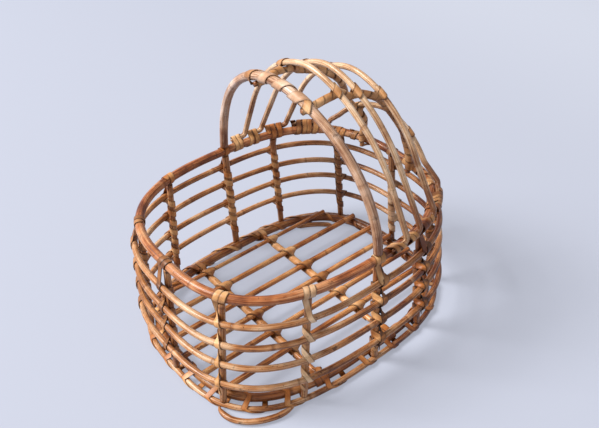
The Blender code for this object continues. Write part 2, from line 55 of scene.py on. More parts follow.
def oval(angle, length, width, setback, foot_power, head_power):
    """Point of a squared oval at a polar angle round its widest place."""
    run, rise = cos(angle), sin(angle)
    reach = length / 2 - WIDEST_OFFSET if run > 0 else length / 2 + WIDEST_OFFSET
    power = head_power if run > 0 else foot_power
    radius = (abs(run / reach) ** power + abs(rise * 2 / width) ** power) ** (-1 / power)
    return Vector((WIDEST_OFFSET - setback + radius * run, radius * rise, 0))


def wall_point(angle, height):
    """Point of the stakes' wall, which leans straight from the base's oval to the rim's."""
    low = oval(angle, BASE_LENGTH, BASE_WIDTH, 0, BASE_POWER, BASE_POWER)
    high = oval(angle, RIM_LENGTH, RIM_WIDTH, RIM_SETBACK, RIM_FOOT_POWER, RIM_HEAD_POWER)
    point = low.lerp(high, height / RIM_HEIGHT)
    point.z = height
    return point


def wall_run(angle, height):
    """The wall's level run at an angle, as a length for each radian."""
    step = radians(0.5)
    return (wall_point(angle + step, height) - wall_point(angle - step, height)) / (2 * step)


def across(angle, height):
    return wall_run(angle, height).normalized()


def off_wall(angle, height, offset):
    """A place outside the wall by an offset."""
    return wall_point(angle, height) + across(angle, height).cross(UP) * offset


def hoop(height, offset, wander, seed, sag=None):
    """A hoop's line as a function of the angle; it wanders a little, as hand-bent cane does."""
    draw = Random(seed)
    waves = [(turns, draw.uniform(0, 2 * pi), draw.uniform(0, 2 * pi)) for turns in (2, 3, 5, 8)]

    def line(angle):
        aside = sum(sin(turns * angle + side) / turns for turns, side, _ in waves)
        lift = sum(sin(turns * angle + rise) / turns for turns, _, rise in waves)
        return off_wall(angle, height, offset + wander * aside) + UP * ((sag or wander) * lift)

    return line


def run_of(line, angle):
    step = radians(0.5)
    return (line(angle + step) - line(angle - step)).normalized()


def marks_along(points, first=0.0):
    """How far along the line through the points each of them lies."""
    marks = [first]
    for start, end in zip(points, points[1:]):
        marks.append(marks[-1] + (end - start).length)
    return marks


def evenly(points, step, closed=False):
    """The same line through points an even step apart, and its length."""
    if closed:
        points = points + [points[0]]
    marks = marks_along(points)
    count = max(2, round(marks[-1] / step))
    line = []
    for number in range(count if closed else count + 1):
        mark = marks[-1] * number / count
        before = min(bisect_right(marks, mark), len(points) - 1) - 1
        share = (mark - marks[before]) / (marks[before + 1] - marks[before])
        line.append(points[before].lerp(points[before + 1], share))
    return line, marks[-1]


CANE_STEP = 0.0022
KNOT_SWELL, KNOT_LENGTH = 0.03, 0.0018


def lay_cane(name, points, thick, finish, node, knot_gap, seed, closed=False, pointed=None):
    """A length of rattan along the points: a round tube with knots, that stands for a CAD node. Over the
    pointed length at both ends it is pared down."""
    line, length = evenly(points, CANE_STEP, closed)
    gaps = max(1, round(length / knot_gap)) if closed else length / knot_gap
    first = Random(seed).uniform(0.2, 0.8)
    curve = bpy.data.curves.new(name, "CURVE")
    curve.dimensions = "3D"
    curve.twist_mode = "Z_UP" if closed else "MINIMUM"
    curve.bevel_depth = thick / 2
    curve.bevel_resolution = 5
    curve.use_fill_caps = not closed
    spline = curve.splines.new("POLY")
    spline.points.add(len(line) - 1)
    for number, (knot, point) in enumerate(zip(spline.points, line)):
        share = number / len(line)
        mark = share * gaps + first
        near = abs(mark - round(mark)) * length / gaps
        swell = KNOT_SWELL * exp(-((near / KNOT_LENGTH) ** 2))
        swell += 0.014 * sin(mark * 2 * pi * 1.7) + 0.008 * sin(mark * 29)
        knot.co = (*point, 1)
        knot.radius = 0.98 + swell
        if pointed:
            end = min(number, len(line) - 1 - number) * length / (len(line) - 1)
            knot.radius *= 0.30 + 0.70 * sin(min(1, end / pointed) * pi / 2)
    spline.use_cyclic_u = closed
    piece = new_piece(name, curve)
    bpy.ops.object.convert(target="MESH")
    for corner in piece.data.uv_layers[0].data:
        corner.uv.x = corner.uv.x * gaps + first
    if not closed:
        mesh = bmesh.new()
        mesh.from_mesh(piece.data)
        bmesh.ops.remove_doubles(mesh, verts=mesh.verts, dist=1e-6)
        mesh.to_mesh(piece.data)
        mesh.free()
    piece.data.shade_smooth()
    finish_piece(piece, finish, node)


def new_piece(name, data):
    """A new object, linked to the scene, active and selected."""
    piece = bpy.data.objects.new(name, data)
    bpy.context.scene.collection.objects.link(piece)
    bpy.context.view_layer.objects.active = piece
    piece.select_set(True)
    return piece


def finish_piece(piece, finish, node):
    """Gives a piece its material and its place in the frame, and marks how far each point faces down, for the
    painted shade on undersides.
    """
    piece.select_set(False)
    under = piece.data.attributes.new("under", "FLOAT", "POINT")
    for vertex, mark in zip(piece.data.vertices, under.data):
        mark.value = 0.5 - vertex.normal.z / 2
    piece.data.materials.clear()
    piece.data.materials.append(finish[0])
    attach(piece, "root")
    if node:
        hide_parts(node)


class Wire:
    """An output of a shader node. A sum of wires and numbers adds its Math nodes."""

    def __init__(self, tree, socket=None):
        self.tree = tree
        self.socket = socket

    def node(self, kind, settings=(), sockets=(), output=0):
        """A node of a kind, with its settings made first and then its sockets set or linked."""
        made = self.tree.nodes.new("ShaderNode" + kind)
        for key, value in dict(settings).items():
            if key == "stops":
                ramp = made.color_ramp
                while len(ramp.elements) < len(value):
                    ramp.elements.new(1)
                for element, (place, colour) in zip(ramp.elements, value):
                    element.position = place
                    element.color = (*colour, 1)
            else:
                setattr(made, key, value)
        for key, value in dict(sockets).items():
            if isinstance(value, Wire):
                self.tree.links.new(value.socket, made.inputs[key])
            else:
                made.inputs[key].default_value = value
        return Wire(self.tree, made.outputs[output])

    def math(self, operation, *terms):
        return self.node("Math", {"operation": operation}, dict(enumerate(terms)))

    def __add__(self, other):
        return self.math("ADD", self, other)

    def __sub__(self, other):
        return self.math("SUBTRACT", self, other)

    def __rsub__(self, other):
        return self.math("SUBTRACT", other, self)

    def __mul__(self, other):
        return self.math("MULTIPLY", self, other)

    def __abs__(self):
        return self.math("ABSOLUTE", self)

    __radd__ = __add__
    __rmul__ = __mul__

    def rising(self, low, high):
        """From 0 where this is under low to 1 where it is over high."""
        return self.node("MapRange", {"interpolation_type": "SMOOTHSTEP"}, {0: self, 1: low, 2: high})

    def noise(self, scale, detail, roughness):
        """Noise over this place, about 0.5."""
        values = {"Vector": self, "Scale": scale, "Detail": detail, "Roughness": roughness}
        return self.node("TexNoise", (), values)

    def parts(self):
        """The numbers of this vector, each a wire of its own."""
        outputs = self.node("SeparateXYZ", (), {0: self}).socket.node.outputs
        return [Wire(self.tree, output) for output in outputs]

    def toward(self, other, share):
        """This colour mixed toward another, given as three numbers, by a share."""
        return self.node("Mix", {"data_type": "RGBA"}, {0: share, 6: self, 7: (*other, 1)}, 2)


def tinted(colour, *factors):
    """A colour lighter or darker by one factor, or by one for each of its parts."""
    return [min(1, part * factor) for part, factor in zip(colour, factors * (3 // len(factors)))]


def new_material(name):
    """A material, its shader, and its place in the object and along and across its own surface."""
    material = bpy.data.materials.new(name)
    material.use_nodes = True
    wire = Wire(material.node_tree)
    place = wire.node("TexCoord", output="Object")
    along, across_it, _ = wire.node("TexCoord", output="UV").parts()
    return material, material.node_tree.nodes["Principled BSDF"], place, along, across_it


def set_surface(shader, colour, deep, rough, height, relief, depth, coat, coat_roughness):
    """Links what changes over a cane or strip and sets what doesn't. Undersides are darker with painted
    shade, the more so the more they face down."""
    under = colour.node("Attribute", {"attribute_name": "under"}, output=2)
    # Painted shade on undersides: the more a point faces down, the darker it is.
    colour = colour.toward(tinted(deep, 0.42, 0.34, 0.28), under.rising(0.42, 0.95) * 0.62)
    bump = colour.node("Bump", (), {"Strength": relief, "Distance": depth, "Height": height})
    for socket, value in (("Base Color", colour), ("Roughness", rough), ("Normal", bump)):
        colour.tree.links.new(value.socket, shader.inputs[socket])
    shader.inputs["Specular IOR Level"].default_value = 0.3
    shader.inputs["Coat Weight"].default_value = coat
    shader.inputs["Coat Roughness"].default_value = coat_roughness


def painted_shade_near_head(place):
    """How far painted shade darkens a surface: more toward the near side's head end, below the rim."""
    length, width, height = place.parts()
    return (length * 0.75 - width).rising(0.07, 0.22) * height.rising(0.23, 0.17)


KNOT = (0.15, 0.052, 0.018)


def cane_finish(name, pale, middle, deep, slot, grime, knot=KNOT, roughness=0.38, coat=0.16, browner_below=None):
    """Rattan: tones that wander along the cane, long fibres, dark knots, scuffs, and painted shade toward the
    near side's head end. Below the two heights given, the cane turns darker and browner toward its foot."""
    material, shader, place, along, around = new_material(name)
    turn = around * (2 * pi)
    ring = place.node("CombineXYZ", (), {0: along * 3.0, 1: turn.math("COSINE", turn) * 3.2,
                                         2: turn.math("SINE", turn) * 3.2})
    fibres, streaks = ring.noise(2.6, 5.0, 0.65), ring.noise(0.8, 3.0, 0.6)
    patches, specks = place.noise(24.0, 3.0, 0.55), place.noise(420.0, 2.0, 0.6)
    scuffs = place.noise(95.0, 4.0, 0.7)
    # Painted shade: darker toward the near side's head end, below the rim.
    tone = patches * 0.55 + streaks * 0.45 - painted_shade_near_head(place) * 0.07
    # Below the two heights given, the cane is darker and browner toward its foot.
    if browner_below:
        height = place.parts()[2] + (patches - 0.5) * 0.05
        tone = tone - height.rising(browner_below[1], browner_below[0]) * 0.075
    colour = place.node("ValToRGB", {"stops": [(0.38, deep), (0.49, middle), (0.61, pale)]}, {0: tone})
    colour = colour.toward(tinted(deep, 0.5, 0.36, 0.25), fibres.rising(0.48, 0.66) * 0.7)
    colour = colour.toward(tinted(pale, 1.3), fibres.rising(0.49, 0.32) * 0.35)
    colour = colour.toward(tinted(deep, 0.3), scuffs.rising(0.58, 0.72) * grime)
    colour = colour.toward(tinted(deep, 0.22), specks.rising(0.63, 0.74) * grime)
    beside = along.math("FRACT", along + 0.5) - 0.5
    lip = abs(beside) + scuffs * 0.006
    colour = colour.toward(knot, (1 - lip.rising(0.006, 0.014)) * 0.5)
    fresh = beside.rising(0.010, 0.02) * (1 - beside.rising(0.02, 0.06))
    colour = colour.toward(tinted(pale, 1.15), fresh * 0.25)
    rough = (roughness - 0.13) + fibres * 0.16 + scuffs.rising(0.5, 0.7) * 0.14
    height = fibres * 0.5 + scuffs * 0.25 - (1 - lip.rising(0.002, 0.008)) * 0.8
    set_surface(shader, colour, deep, rough, height, relief=0.5, depth=0.0005, coat=coat, coat_roughness=0.25)
    return material, slot


RING_STEPS = 360


def all_round(line):
    """Points of a hoop's line, right round."""
    return [line(2 * pi * step / RING_STEPS) for step in range(RING_STEPS)]


rim_finish = cane_finish(
    "varnished_rim_pole", (0.66, 0.34, 0.165), (0.42, 0.130, 0.036), (0.12, 0.022, 0.003), "rim_cane", 0.7)
rim_line = hoop(RIM_HEIGHT, 0, 0.0004, 11)
lay_cane("rim_pole", all_round(rim_line), RIM_POLE, rim_finish, "rim_hoop", 0.2, 1, True)

# The base: a second thick hoop inside the stakes' feet, and a thin ring on the ground outside them.
# Both are plain round cane, darker and duller than the rim. The ring's ends run past each other at one
# corner, where they bow out, and a sprung end lies under the floor at the opposite corner.
BASE_POLE = 0.0115
STAKE_CANE, MIDDLE_STAKE_CANE = 0.0085, 0.0095
RING_CANE = 0.0075
CLEARANCE = 0.0003
BASE_HEIGHT = 0.010
RING_HEIGHT = 0.00488
HOOP_OFFSET = STAKE_CANE / 2 - MIDDLE_STAKE_CANE - CLEARANCE - BASE_POLE / 2
RING_OFFSET = 0.0015
SPLICE_FROM, SPLICE_TO, SPLICE_BOW, SPLICE_SKEW = -157.0, -133.0, 0.0105, 0.66
TAIL_FROM, TAIL_LENGTH, TAIL_TURN = 54.0, 0.052, 0.018

core_finish = cane_finish(
    "round_core_cane", (0.70, 0.45, 0.265), (0.47, 0.188, 0.056), (0.11, 0.022, 0.003), "core_cane", 0.8)
base_finish = cane_finish(
    "base_pole_cane", (0.50, 0.23, 0.085), (0.28, 0.088, 0.022), (0.08, 0.017, 0.003), "core_cane", 0.8)
hoop_line = hoop(BASE_HEIGHT, HOOP_OFFSET, 0.0003, 12)
ring_line = hoop(RING_HEIGHT, RING_OFFSET, 0.0002, 13)
lay_cane("base_pole", all_round(hoop_line), BASE_POLE, base_finish, "base_hoop", 0.2, 2, True)
lay_cane("bottom_ring", all_round(ring_line), RING_CANE, core_finish, "ground_ring", 0.16, 3, True)
bow = []
for step in range(33):
    angle = radians(SPLICE_FROM + (SPLICE_TO - SPLICE_FROM) * step / 32)
    pressed = RING_CANE * (0.68 + 0.32 * min(1, min(step, 32 - step) / 7))
    aside = pressed + SPLICE_BOW * sin(pi * (step / 32) ** SPLICE_SKEW)
    bow.append(ring_line(angle) + across(angle, RING_HEIGHT).cross(UP) * aside)
lay_cane("ring_overlap", bow, RING_CANE, core_finish, "ground_ring_splice", 0.15, 4, pointed=0.016)
angle = radians(TAIL_FROM)
root = off_wall(angle, RING_HEIGHT, HOOP_OFFSET - BASE_POLE / 2 - RING_CANE / 2)
away = -across(angle, 0)
tail = [root + away * (TAIL_LENGTH * step / 32) + away.cross(UP) * (TAIL_TURN * (step / 32) ** 2)
        for step in range(33)]
lay_cane("ring_sprung_end", tail, RING_CANE * 0.97, core_finish, "ground_ring_tail", 0.15, 5, pointed=0.008)

# The stakes: twelve upright canes between the base and the rim, the middle pair a little thicker because
# they carry the hood's front arch. Each is a straight length that leans with the wall.
STAKE_PAIRS = (
    ("head_corner", 29.6, 30.2),
    ("head_side", 59.5, 61.9),
    ("middle", 90.0, 91.0),
    ("foot_side", 128.5, 125.2),
    ("foot_corner", 156.5, 154.0),
)
STAKE_FOOT = 0.0093
STAKE_TOP = 0.1651
STRIP_THICKNESS = 0.0009


def stakes():
    """Each stake's name, its angle at a height as a function, and its diameter."""
    yield "head", lambda height: 0.0, STAKE_CANE
    yield "foot", lambda height: pi, STAKE_CANE
    for name, low, high in STAKE_PAIRS:
        thick = MIDDLE_STAKE_CANE if name == "middle" else STAKE_CANE

        def angle(height, low=low, high=high):
            return radians(low + (high - low) * height / RIM_HEIGHT)

        yield name + "_far", angle, thick
        yield name + "_near", lambda height, angle=angle: 2 * pi - angle(height), thick


def stake_ends(angle, thick):
    inset = STAKE_CANE / 2 - thick / 2
    return [off_wall(angle(height), height, inset) for height in (STAKE_FOOT, STAKE_TOP)]


stake_finish = cane_finish(
    "stake_cane", (0.60, 0.33, 0.155), (0.37, 0.130, 0.036), (0.10, 0.021, 0.004), "core_cane", 0.9)
for number, (name, angle, thick) in enumerate(stakes()):
    foot, top = stake_ends(angle, thick)
    points = [foot.lerp(top, step / 24) for step in range(25)]
    lay_cane("upright_" + name, points, thick, stake_finish, "stake_" + name, 0.19, 20 + number)

# The weavers: four thin canes that run level round the outside of the stakes, each one hoop with its own
# slight sag and sway.
WEAVER_CANE = 0.0078
WEAVER_PLACES = (0.257, 0.452, 0.637, 0.822)
WEAVER_OFFSET = STAKE_CANE / 2 + WEAVER_CANE / 2 + CLEARANCE


def weaver_height(row):
    return RING_HEIGHT + (RIM_HEIGHT - RING_HEIGHT) * WEAVER_PLACES[row - 1]


weaver_lines = {row: hoop(weaver_height(row), WEAVER_OFFSET, 0.0004, 30 + row, 0.0013) for row in range(1, 5)}
for row, line in weaver_lines.items():
    lay_cane(f"round_cane_{row}", all_round(line), WEAVER_CANE, core_finish, f"weaver_{row}", 0.18,
             40 + row, True)

# The stakes' lashings: on each stake one strip of split cane takes two turns round the rim, crosses every
# weaver slantwise and goes behind the stake from one to the next, and ends low on the stake. Three near the
# head have a second strip that crosses the first. All are drawn tight, a little hollow inside, ends tucked.
RIM_STRIP, STRIP, BROAD_STRIP = 0.0070, 0.0062, 0.0088
PLY = 0.0001
SPIN_STATIONS = 24


def halve(low, high, is_low):
    """The place between low and high where is_low stops being true."""
    for _ in range(16):
        middle = (low + high) / 2
        if is_low(middle):
            low = middle
        else:
            high = middle
    return low


def hug(canes, origin, axis, direction):
    """Where a strip, drawn tight round each cane, lies in one direction of the plane across an axis."""
    points = []
    for middle, run, radius in canes:
        lean = run.dot(axis)
        centre = middle + run * ((origin - middle).dot(axis) / lean)
        tight = radius + PLY
        slant = run - axis * lean
        if slant.length < radians(1):
            points.append(centre + direction * tight)
            continue
        slant.normalize()
        beside = axis.cross(slant)
        long_part = slant * (direction.dot(slant) * tight / abs(lean))
        short_part = beside * (direction.dot(beside) * tight)
        spread = (long_part + short_part).length
        points.append(centre + (long_part * (tight / abs(lean)) + short_part * tight) / spread)
    return points


def tighten(look, turns, first=None, last=None, spread=0.0):
    """Stations drawn over whichever cane is outermost; the strip runs straight from one to the next."""

    def reach(turn, cane):
        sides, direction = look(turn)
        return sum(points[cane].dot(direction) if cane < len(points) else -1 for points in sides)

    def station(turn, cane):
        sides, direction = look(turn)
        return (*(points[min(cane, len(points) - 1)] for points in sides), direction)

    route = [] if first is None else [(turns[0], first)]
    for turn in turns:
        canes = range(max(len(points) for points in look(turn)[0]))
        outer = max(canes, key=lambda cane: reach(turn, cane))
        if route and route[-1][1] != outer:
            before, held = route[-1]
            swap = halve(before, turn, lambda at: reach(at, held) > reach(at, outer))
            route += [(swap - spread, held), (min(swap + spread, turns[-1]), outer)]
        route.append((turn, outer))
    if last is not None:
        route.append((turns[-1], last))
    befores = [(-999, 0)] + route
    route = [knot for knot, before in zip(route, befores) if knot != before and knot[0] >= before[0]]
    return [station(*knot) for knot in route]


def further(angle, distance, height):
    """The angle that lies a distance further round the wall at a height."""
    return angle + distance / wall_run(angle, height).length


def spiral(place, stops, width, skew=None, pivot=0.0):
    """Stations of a strip wound along hoops; stops give turns and places, a turn starting outward. A skew,
    a length at each place, moves the strip along between its two canes, so that it lies aslant there."""

    def look(turn):
        before = next(number for number in range(len(stops) - 1) if turn <= stops[number + 1][0] + 1e-9)
        (start, spot), (end, next_spot) = stops[before], stops[before + 1]
        middle = spot + (next_spot - spot) * (turn - start) / (end - start)
        if skew:
            share = turn - pivot - floor(turn - pivot + 0.5)
            middle = further(middle, skew(middle) * (max(-1, min(1, share / 0.02)) - 2 * share), 0)
        spin = 2 * pi * turn
        sides = []
        for distance in (-width / 2, width / 2):
            origin, axis, canes = place(middle, distance)
            side = axis.cross(UP)
            direction = side * cos(spin) + axis.cross(side) * sin(spin)
            sides.append(hug(canes, origin, axis, direction))
        return sides, direction

    count = round((stops[-1][0] - stops[0][0]) * SPIN_STATIONS)
    turns = [stops[0][0] + step / SPIN_STATIONS for step in range(count + 1)]
    return tighten(look, turns, spread=0.015 if skew else 0.0)


def over(main, cross, out, width, hand=1, first=-90, tilt=45):
    """Stations of a strip that passes slantwise, at a tilt from the main cane, over where two canes cross."""
    slant = (main[1] * cos(radians(tilt)) + out.cross(main[1]) * (hand * sin(radians(tilt)))).normalized()
    axis = out.cross(slant)
    middle = (main[0] + cross[0]) / 2

    def look(degrees):
        turn = radians(degrees)
        direction = (out * cos(turn) + slant * (sin(turn) / sin(radians(tilt)))).normalized()
        sides = [hug([main, cross], middle + axis * (side * width / 2), axis, direction) for side in (-1, 1)]
        return sides, direction

    return tighten(look, range(first, 91, 15), 0 if first == -90 else None, 0)


def behind(path, radius, start, end, width, hand=1, extra_turns=0, last=255, first=105):
    """Stations of a strip that winds round one cane, from one crossing to the next or on its own."""
    final = last + 360 * extra_turns
    slope = (end - start) / (radians(final - first + 30) * radius)
    half = width / 2 * sqrt(1 + slope * slope)
    stations = []
    for degrees in range(first, final + 1, 15):
        centre, along, out = path(start + (end - start) * (degrees - first + 15) / (final - first + 30))
        turn = radians(degrees)
        direction = out * cos(turn) + out.cross(along) * (hand * sin(turn))
        middle = centre + direction * (radius + PLY)
        rung = along * (hand * half)
        stations.append((middle + rung, middle - rung, direction))
    return stations


TUCKED_STATIONS = 2
STRIP_CROWN, STRIP_TILE = 0.0003, 0.1


def wind_strip(name, stations, finish, node, seed):
    """One strip of split cane through the stations, with a hollow inner face and rounded edges."""
    phase = Random(seed).uniform(0, 50)
    mesh = bmesh.new()
    uv = mesh.loops.layers.uv.new("UVMap")
    shares = (0.0, 0.14, 0.5, 0.86, 1.0)
    crowns = (0.0, 0.55, 0.7, 0.55, 0.0)
    rows = []
    middles = [(low + high) / 2 for low, high, _ in stations]
    marks = marks_along(middles, phase)
    for number, (middle, mark, (low, high, outward)) in enumerate(zip(middles, marks, stations)):
        from_end = min(number, len(stations) - 1 - number)
        narrow = min(1, 0.35 + 0.65 * from_end / TUCKED_STATIONS) * (1 + 0.07 * sin(mark * 160 + phase))
        row = []
        for share, crown in zip(shares, crowns):
            point = middle + (high - low) * ((share - 0.5) * narrow) + outward * (crown * STRIP_CROWN)
            row.append(mesh.verts.new(point))
        rows.append(row)
    corners = ((0, 0), (0, 1), (1, 1), (1, 0))
    for number, pair in enumerate(zip(rows, rows[1:])):
        for spot in range(len(shares) - 1):
            face = mesh.faces.new([pair[end][spot + side] for end, side in corners])
            for loop, (end, side) in zip(face.loops, corners):
                loop[uv].uv = (marks[number + end] / STRIP_TILE, shares[spot + side])
    data = bpy.data.meshes.new(name)
    mesh.to_mesh(data)
    mesh.free()
    piece = new_piece(name, data)
    faces_wide = len(shares) - 1
    if sum(face.normal.dot(stations[face.index // faces_wide][2]) for face in data.polygons) < 0:
        data.flip_normals()
    thick = piece.modifiers.new("thickness", "SOLIDIFY")
    thick.thickness = STRIP_THICKNESS
    thick.offset = 1
    bpy.ops.object.modifier_apply(modifier="thickness")
    bpy.ops.object.shade_smooth_by_angle(angle=radians(50))
    finish_piece(piece, finish, node)


STRIP_ROUGHNESS = 0.35


def strip_finish(name, pale, middle, deep, edge_shade):
    """Split cane: flat, with straight fibres along it and painted shade along its edges, paler where it is
    fresh.
    """
    material, shader, place, along, side = new_material("split_cane_" + name)
    lengthwise = place.node("CombineXYZ", (), {0: along * 1.5, 1: side * 4.0})
    fibres, patches = lengthwise.noise(4.5, 4.0, 0.6), place.noise(48.0, 2.0, 0.55)
    wide, specks = place.noise(11.0, 1.0, 0.5), place.noise(300.0, 2.0, 0.6)
    # Painted shade: darker toward the near side's head end, below the rim.
    tone = patches * 0.45 + wide * 0.3 + fibres * 0.25 - painted_shade_near_head(place) * 0.06
    colour = place.node("ValToRGB", {"stops": [(0.38, deep), (0.49, middle), (0.59, pale)]}, {0: tone})
    colour = colour.toward(tinted(deep, 0.45), fibres.rising(0.52, 0.72) * 0.55)
    colour = colour.toward(tinted(deep, 0.3), specks.rising(0.63, 0.75) * 0.6)
    # Painted shade along both edges, where the strip meets the cane under it.
    edge = abs(side - 0.5) + (fibres - 0.5) * 0.1
    colour = colour.toward(tinted(deep, 0.22), edge.rising(0.33, 0.49) * edge_shade)
    rough = STRIP_ROUGHNESS + fibres * 0.16
    set_surface(shader, colour, deep, rough, fibres, relief=0.3, depth=0.0003, coat=0.08, coat_roughness=0.3)
    return material, "split_cane"


straw_finish = strip_finish("straw", (0.84, 0.60, 0.39), (0.60, 0.345, 0.175), (0.24, 0.09, 0.030), 0.7)
orange_finish = strip_finish("orange", (0.88, 0.57, 0.30), (0.64, 0.33, 0.13), (0.26, 0.088, 0.022), 0.7)
amber_finish = strip_finish("amber", (0.76, 0.42, 0.175), (0.48, 0.170, 0.042), (0.15, 0.036, 0.006), 0.6)
brown_finish = strip_finish("brown", (0.54, 0.27, 0.110), (0.31, 0.125, 0.040), (0.10, 0.028, 0.006), 0.85)


def rim_place(spot, distance, tails=()):
    """Origin, axis and canes for a strip round the rim; spot is an angle from the head end."""
    angle = further(spot, distance, RIM_HEIGHT)
    axis = run_of(rim_line, angle)
    centre = rim_line(angle)
    canes = [(centre, axis, RIM_POLE / 2)]
    if any(tip - RIB_BEND / 2 < centre.x < turn + RIB_BEND / 2 for tip, turn in tails):
        canes.append((tail_point(angle), axis, RIB_CANE / 2))
    return centre, axis, canes


# How wide each stake's strip is, its tilt from the stake, its added turns between weavers, and its finish.
STAKE_BINDINGS = {
    "foot_corner_far": (0.0086, 45, 1, brown_finish),
    "foot_side_far": (0.0086, 45, 1, amber_finish),
    "middle_far": (0.0090, 42, 1, amber_finish),
    "head_side_far": (0.0086, 45, 1, amber_finish),
    "head_corner_far": (0.0086, 45, 1, brown_finish),
    "head": (0.0098, 45, 2, straw_finish),
    "head_corner_near": (0.0074, 45, 1, amber_finish),
    "head_side_near": (0.0074, 42, 0, amber_finish),
    "middle_near": (0.0072, 36, 0, orange_finish),
    "foot_side_near": (0.0062, 32, 0, straw_finish),
    "foot_corner_near": (0.0056, 30, 0, orange_finish),
    "foot": (0.0060, 32, 0, brown_finish),
}
CROSSED = ("head_side_near", "head_corner_near", "middle_near")
RIM_PITCH = RIM_STRIP + 0.0002
RIB_CANE, RIB_BEND = 0.0075, 0.009
TAIL_LEAN, TAIL_REACH = radians(45), RIM_POLE / 2 + RIB_CANE / 2 + CLEARANCE
THIRD_TAIL = (0.0688, 0.0886)


def tail_point(angle):
    """Place on a rib's tail, which lies along the rim's upper outer side."""
    out = across(angle, RIM_HEIGHT).cross(UP)
    return rim_line(angle) + (out * sin(TAIL_LEAN) + UP * cos(TAIL_LEAN)) * TAIL_REACH


def lash_stake(name, angle, thick, seed):
    """Binds one stake; beside the rim at the head's sides its turns take in the third rib's tail."""
    radius = thick / 2
    foot, top = stake_ends(angle, thick)
    down = (foot - top).normalized()

    def path(fall):
        """Middle, run and outward side of the stake, a height down from the rim."""
        height = RIM_HEIGHT - fall
        level = across(angle(height), height)
        return top + down * ((height - top.z) / down.z), down, level.cross(-down).normalized()

    tails = [THIRD_TAIL] if name.startswith("head_side") else []
    width, tilt, extra, finish = STAKE_BINDINGS[name]
    spot = angle(RIM_HEIGHT)
    half = 1.5 * RIM_PITCH / 2
    stops = [(1 / 8 - 1.5, further(spot, half, RIM_HEIGHT)), (1 / 8, further(spot, -half, RIM_HEIGHT))]
    stations = spiral(lambda at, distance: rim_place(at, distance, tails), stops, RIM_STRIP)

    def descend(hand, thick, reach):
        """Stations from the top weaver down to the stake's foot, over canes that are thicker by a layer."""
        last = None
        for row in range(len(WEAVER_PLACES), 0, -1):
            height = weaver_height(row)
            fall = RIM_HEIGHT - height
            if last is not None:
                yield from behind(path, thick, last, fall - reach, width, hand, extra)
            middle, along, out = path(fall)
            line = weaver_lines[row]
            weaver = (line(angle(height)), run_of(line, angle(height)), WEAVER_CANE / 2 + thick - radius)
            first = -45 if last is None and hand > 0 else -90
            yield from over((middle, along, thick), weaver, out, width, hand, first, tilt)
            last = fall + reach
        end = min(last + radius * 4, RIM_HEIGHT - STAKE_FOOT - 0.004)
        yield from behind(path, thick, last, end, width, hand, 0, 345)

    reach = radius / sin(radians(tilt)) * cos(radians(tilt))
    node = "stake_lashing_" + name
    wind_strip("binding_" + name, stations + list(descend(1, radius, reach)), finish, node, seed)
    if name in CROSSED:
        crossing = list(descend(-1, radius + STRIP_THICKNESS, reach))
        wind_strip("crossing_" + name, crossing, brown_finish, node, seed + 20)


for number, (name, angle, thick) in enumerate(stakes()):
    lash_stake(name, angle, thick, 60 + number)

# The base's lashing: one strip goes right round the bottom, two turns to each space between stakes, and
# ties the ring on the ground to the base hoop. It lies aslant, the other way round the near foot corner.
GROUND_STRIP = 0.0074
NEAR_FOOT = (radians(140), radians(248))
NEAR_FOOT_SKEW, SKEW, SKEW_PIVOT = -0.0045, 0.004, -0.167


def ground_place(spot, distance):
    """Origin, axis and canes for a strip round the base hoop and the ring outside it."""
    angle = further(spot, distance, 0)
    axis = across(angle, 0)
    low, high = ring_line(angle), hoop_line(angle)
    return (low + high) / 2, axis, [(high, axis, BASE_POLE / 2), (low, axis, RING_CANE / 2)]


def ground_skew(spot):
    return NEAR_FOOT_SKEW if NEAR_FOOT[0] < spot < NEAR_FOOT[1] else SKEW


angles = sorted(angle(0) for _, angle, _ in stakes())
stops = [(1 / 4 + 2 * number, angle) for number, angle in enumerate(angles)]
end = angles[0] + 2 * pi
stops.append((stops[-1][0] + 3 / 2, end - (end - angles[-1]) / 4))
wound = spiral(ground_place, stops, GROUND_STRIP, ground_skew, SKEW_PIVOT)
wind_strip("bottom_binding", wound, amber_finish, "ground_lashing", 80)

# The floor: six lengthwise slats of round cane, the first a thin one, laid over the base hoop, and two
# crossbars under them. A broad strip is wound along each crossbar and ties it slantwise to every slat, and
# others tie the crossbars' ends to the base hoop.
SLAT_CANE, THIN_SLAT_CANE, CROSSBAR_CANE = 0.0080, 0.0060, 0.0080
SLAT_OVERHANG = 0.0035
SLAT_PLACES = (0.721, 0.455, 0.196, -0.025, -0.288, -0.529)
CROSSBAR_PLACES = (-0.365, 0.227)
SLAT_BOTTOM = 0.01785
CROSSBAR_HEIGHT = SLAT_BOTTOM - CLEARANCE - CROSSBAR_CANE / 2

FLOOR_STRIP, FLOOR_WRAP, TIE_TRAVEL = 0.0110, 0.0160, 0.0156

slat_finish = cane_finish(
    "floor_slat_cane", (0.78, 0.42, 0.175), (0.51, 0.170, 0.038), (0.13, 0.025, 0.003), "slat_cane", 0.8,
    roughness=0.36, coat=0.2)
floor_strip_finish = strip_finish("floor", (0.86, 0.50, 0.24), (0.62, 0.28, 0.095), (0.24, 0.075, 0.018), 0.8)


def slats():
    for number, share in enumerate(SLAT_PLACES):
        thick = THIN_SLAT_CANE if number == 0 else SLAT_CANE
        yield share * BASE_WIDTH / 2, thick / 2


def hoop_at(measure, start, end):
    """Place on the base hoop where a measure of it, falling from start to end, crosses zero."""
    return hoop_line(halve(start, end, lambda angle: measure(hoop_line(angle)) > 0))


